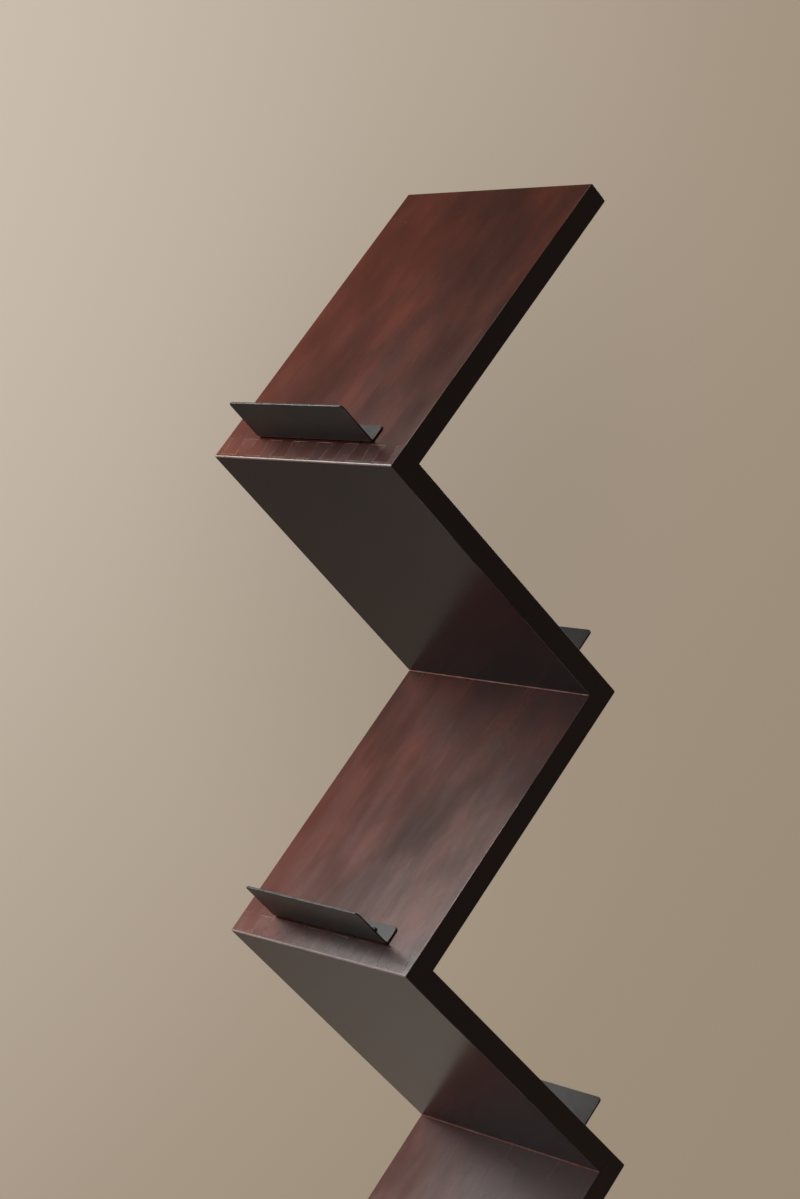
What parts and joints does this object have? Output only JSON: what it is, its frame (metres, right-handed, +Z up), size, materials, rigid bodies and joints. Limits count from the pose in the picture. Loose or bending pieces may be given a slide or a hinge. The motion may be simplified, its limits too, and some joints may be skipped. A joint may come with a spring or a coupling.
{
  "type": "zigzag bookshelf",
  "caption": "Free-standing zigzag bookshelf: sloping wooden boards dovetailed end to end on a base board, each with a bent-steel book stop.",
  "frame": {"origin": "on the floor, under the middle of the base board's width and depth", "axes": "+Z up; +X across the zigzag, from the corners on the left to those on the right; +Y through the boards' depth, from the front edges to the back edges"},
  "size_m": [0.3196, 0.28, 1.7063],
  "materials": {
    "stained_wood": "dark red-brown stain under satin-gloss lacquer",
    "black_steel": "satin black powder coat",
    "dark_screw": "black-oxide screw",
    "grey_felt": "pressed felt"
  },
  "bodies": {
    "root": {"board_1": "stained_wood", "book_stop_1": "black_steel", "stop_screw_1_front": "dark_screw", "stop_screw_1_back": "dark_screw", "board_2": "stained_wood", "book_stop_2": "black_steel", "stop_screw_2_front": "dark_screw", "stop_screw_2_back": "dark_screw", "board_3": "stained_wood", "book_stop_3": "black_steel", "stop_screw_3_front": "dark_screw", "stop_screw_3_back": "dark_screw", "board_4": "stained_wood", "book_stop_4": "black_steel", "stop_screw_4_front": "dark_screw", "stop_screw_4_back": "dark_screw", "board_5": "stained_wood", "book_stop_5": "black_steel", "stop_screw_5_front": "dark_screw", "stop_screw_5_back": "dark_screw", "board_6": "stained_wood", "book_stop_6": "black_steel", "stop_screw_6_front": "dark_screw", "stop_screw_6_back": "dark_screw", "board_7": "stained_wood", "book_stop_7": "black_steel", "stop_screw_7_front": "dark_screw", "stop_screw_7_back": "dark_screw", "base_board": "stained_wood", "base_screw_1": "dark_screw", "base_screw_2": "dark_screw", "base_screw_3": "dark_screw", "foot_pad_1": "grey_felt", "foot_pad_2": "grey_felt", "foot_pad_3": "grey_felt", "foot_pad_4": "grey_felt"}
  },
  "joints": []
}
